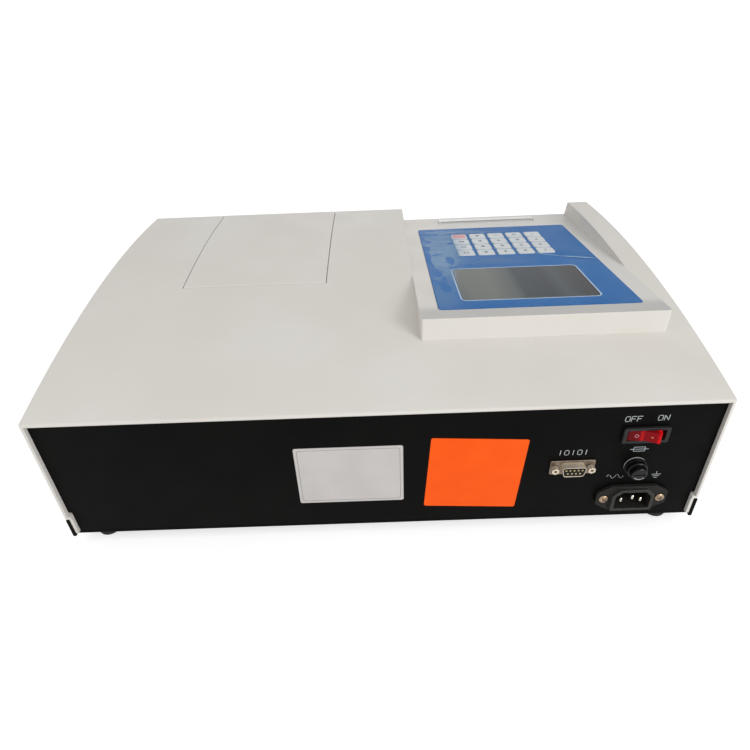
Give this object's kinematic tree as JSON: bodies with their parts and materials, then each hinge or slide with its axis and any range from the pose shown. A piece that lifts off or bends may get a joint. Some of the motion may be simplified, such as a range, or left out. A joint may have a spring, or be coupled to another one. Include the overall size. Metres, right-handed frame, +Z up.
{
  "type": "x-ray fluorescence analyzer",
  "caption": "Desktop x-ray fluorescence analyzer: arched cover with a hinged chamber lid, sloping keypad console with display and printer slot, rear panel with switch, fuse and connectors",
  "frame": {"origin": "on the bench, below the middle of the whole object", "axes": "X runs along the width, -Y is the user's side with the console and lid, +Y is the connector side, Z is up"},
  "size_m": [0.46, 0.375, 0.1469],
  "materials": {
    "cover_plastic": "moulded warm white ABS, fine satin grain",
    "coated_steel": "black powder coat on sheet steel",
    "foot_rubber": "black moulded rubber",
    "zinc_steel": "zinc plated folded sheet",
    "turned_aluminium": "turned aluminium",
    "cup_plastic": "natural polyethylene",
    "head_brass": "machined brass, which shields the beam",
    "tube_steel": "turned steel",
    "grey_steel": "grey coated steel can, potted",
    "winding": "steel core and copper winding under yellow tape",
    "board": "green glass epoxy circuit board",
    "overlay_film": "blue printed polyester",
    "key_plastic": "moulded off white",
    "red_key_plastic": "moulded dull red",
    "display_pane": "grey display window",
    "module_frame": "display module with its frame",
    "white_plastic": "white moulded",
    "grey_plastic": "grey moulded",
    "platen_rubber": "ground black rubber",
    "paper": "wound thermal paper",
    "black_nylon": "black moulded nylon",
    "red_polycarbonate": "clear red moulded",
    "black_phenolic": "black moulded",
    "washer_fibre": "pale grey",
    "fuse_glass": "glass tube with metal ends",
    "nickel": "nickel plated",
    "inlet_black": "black moulded thermoset",
    "blade_brass": "plated brass"
  },
  "bodies": {
    "housing": {"top_cover": "cover_plastic", "base_tray": "coated_steel", "rear_panel": "coated_steel", "foot_rear_left": "foot_rubber", "foot_rear_right": "foot_rubber", "foot_front_left": "foot_rubber", "foot_front_right": "foot_rubber", "sample_deck": "zinc_steel", "cup_locator": "turned_aluminium", "xray_detector": "turned_aluminium", "sample_cup": "cup_plastic", "measuring_head": "head_brass", "xray_tube": "tube_steel", "high_voltage_supply": "grey_steel", "mains_transformer": "winding", "main_board": "board", "key_board": "board", "keypad_overlay": "overlay_film", "display_window": "display_pane", "display_module": "module_frame", "tear_bar": "white_plastic", "printer_frame": "grey_plastic", "switch_body": "black_nylon", "serial_insert": "black_nylon", "fuse_holder": "black_phenolic", "fuse_washer": "washer_fibre", "serial_shell": "nickel", "jackscrew_left": "nickel", "jackscrew_right": "nickel", "inlet_body": "inlet_black", "blade_live": "blade_brass", "blade_neutral": "blade_brass", "blade_earth": "blade_brass"},
    "lid": {"sample_lid": "cover_plastic"},
    "rocker": {"power_rocker": "red_polycarbonate"},
    "cap": {"fuse_cap": "black_phenolic", "glass_fuse": "fuse_glass"},
    "roll": {"paper_roll": "paper", "paper_spindle": "white_plastic"},
    "platen": {"platen_roller": "platen_rubber"},
    "key_01": {"key_01": "key_plastic"},
    "key_02": {"key_02": "key_plastic"},
    "key_03": {"key_03": "key_plastic"},
    "key_04": {"key_04": "key_plastic"},
    "key_05": {"key_05": "red_key_plastic"},
    "key_06": {"key_06": "key_plastic"},
    "key_07": {"key_07": "key_plastic"},
    "key_08": {"key_08": "key_plastic"},
    "key_09": {"key_09": "key_plastic"},
    "key_10": {"key_10": "key_plastic"},
    "key_11": {"key_11": "key_plastic"},
    "key_12": {"key_12": "key_plastic"},
    "key_13": {"key_13": "key_plastic"},
    "key_14": {"key_14": "key_plastic"},
    "key_15": {"key_15": "key_plastic"},
    "key_16": {"key_16": "key_plastic"},
    "key_17": {"key_17": "key_plastic"},
    "key_18": {"key_18": "key_plastic"},
    "key_19": {"key_19": "key_plastic"},
    "key_20": {"key_20": "key_plastic"}
  },
  "joints": [
    {"name": "lid_hinge", "type": "hinge", "parent": "housing", "child": "lid", "pos_m": [0.09775, 0.0267, 0.1331], "axis": [-1, 0, 0], "range_deg": [0, 95]},
    {"name": "rocker_pivot", "type": "hinge", "parent": "housing", "child": "rocker", "pos_m": [-0.1788, 0.176, 0.0906], "axis": [0, 0, 1], "range_deg": [0, 24]},
    {"name": "fuse_cap_turn", "type": "hinge", "parent": "housing", "child": "cap", "pos_m": [-0.1778, 0.1815, 0.0618], "axis": [0, 1, 0], "range_deg": [0, 90]},
    {"name": "paper_roll_turn", "type": "hinge", "parent": "housing", "child": "roll", "pos_m": [-0.1215, -0.11812, 0.08439], "axis": [-1, 0, 0], "continuous": true},
    {"name": "platen_turn", "type": "hinge", "parent": "housing", "child": "platen", "pos_m": [-0.1215, -0.12997, 0.10712], "axis": [-1, 0, 0], "continuous": true},
    {"name": "key_01_press", "type": "slide", "parent": "housing", "child": "key_01", "axis": [0, 0.1213, -0.9926], "range_m": [0, 0.0005], "stiffness_N_per_m": 2000},
    {"name": "key_02_press", "type": "slide", "parent": "housing", "child": "key_02", "axis": [0, 0.1213, -0.9926], "range_m": [0, 0.0005], "stiffness_N_per_m": 2000},
    {"name": "key_03_press", "type": "slide", "parent": "housing", "child": "key_03", "axis": [0, 0.1213, -0.9926], "range_m": [0, 0.0005], "stiffness_N_per_m": 2000},
    {"name": "key_04_press", "type": "slide", "parent": "housing", "child": "key_04", "axis": [0, 0.1213, -0.9926], "range_m": [0, 0.0005], "stiffness_N_per_m": 2000},
    {"name": "key_05_press", "type": "slide", "parent": "housing", "child": "key_05", "axis": [0, 0.1213, -0.9926], "range_m": [0, 0.0005], "stiffness_N_per_m": 2000},
    {"name": "key_06_press", "type": "slide", "parent": "housing", "child": "key_06", "axis": [0, 0.1213, -0.9926], "range_m": [0, 0.0005], "stiffness_N_per_m": 2000},
    {"name": "key_07_press", "type": "slide", "parent": "housing", "child": "key_07", "axis": [0, 0.1213, -0.9926], "range_m": [0, 0.0005], "stiffness_N_per_m": 2000},
    {"name": "key_08_press", "type": "slide", "parent": "housing", "child": "key_08", "axis": [0, 0.1213, -0.9926], "range_m": [0, 0.0005], "stiffness_N_per_m": 2000},
    {"name": "key_09_press", "type": "slide", "parent": "housing", "child": "key_09", "axis": [0, 0.1213, -0.9926], "range_m": [0, 0.0005], "stiffness_N_per_m": 2000},
    {"name": "key_10_press", "type": "slide", "parent": "housing", "child": "key_10", "axis": [0, 0.1213, -0.9926], "range_m": [0, 0.0005], "stiffness_N_per_m": 2000},
    {"name": "key_11_press", "type": "slide", "parent": "housing", "child": "key_11", "axis": [0, 0.1213, -0.9926], "range_m": [0, 0.0005], "stiffness_N_per_m": 2000},
    {"name": "key_12_press", "type": "slide", "parent": "housing", "child": "key_12", "axis": [0, 0.1213, -0.9926], "range_m": [0, 0.0005], "stiffness_N_per_m": 2000},
    {"name": "key_13_press", "type": "slide", "parent": "housing", "child": "key_13", "axis": [0, 0.1213, -0.9926], "range_m": [0, 0.0005], "stiffness_N_per_m": 2000},
    {"name": "key_14_press", "type": "slide", "parent": "housing", "child": "key_14", "axis": [0, 0.1213, -0.9926], "range_m": [0, 0.0005], "stiffness_N_per_m": 2000},
    {"name": "key_15_press", "type": "slide", "parent": "housing", "child": "key_15", "axis": [0, 0.1213, -0.9926], "range_m": [0, 0.0005], "stiffness_N_per_m": 2000},
    {"name": "key_16_press", "type": "slide", "parent": "housing", "child": "key_16", "axis": [0, 0.1213, -0.9926], "range_m": [0, 0.0005], "stiffness_N_per_m": 2000},
    {"name": "key_17_press", "type": "slide", "parent": "housing", "child": "key_17", "axis": [0, 0.1213, -0.9926], "range_m": [0, 0.0005], "stiffness_N_per_m": 2000},
    {"name": "key_18_press", "type": "slide", "parent": "housing", "child": "key_18", "axis": [0, 0.1213, -0.9926], "range_m": [0, 0.0005], "stiffness_N_per_m": 2000},
    {"name": "key_19_press", "type": "slide", "parent": "housing", "child": "key_19", "axis": [0, 0.1213, -0.9926], "range_m": [0, 0.0005], "stiffness_N_per_m": 2000},
    {"name": "key_20_press", "type": "slide", "parent": "housing", "child": "key_20", "axis": [0, 0.1213, -0.9926], "range_m": [0, 0.0005], "stiffness_N_per_m": 2000}
  ],
  "couplings": [
    {"joint": "platen_turn", "follows": "paper_roll_turn", "ratio": 3.6}
  ]
}
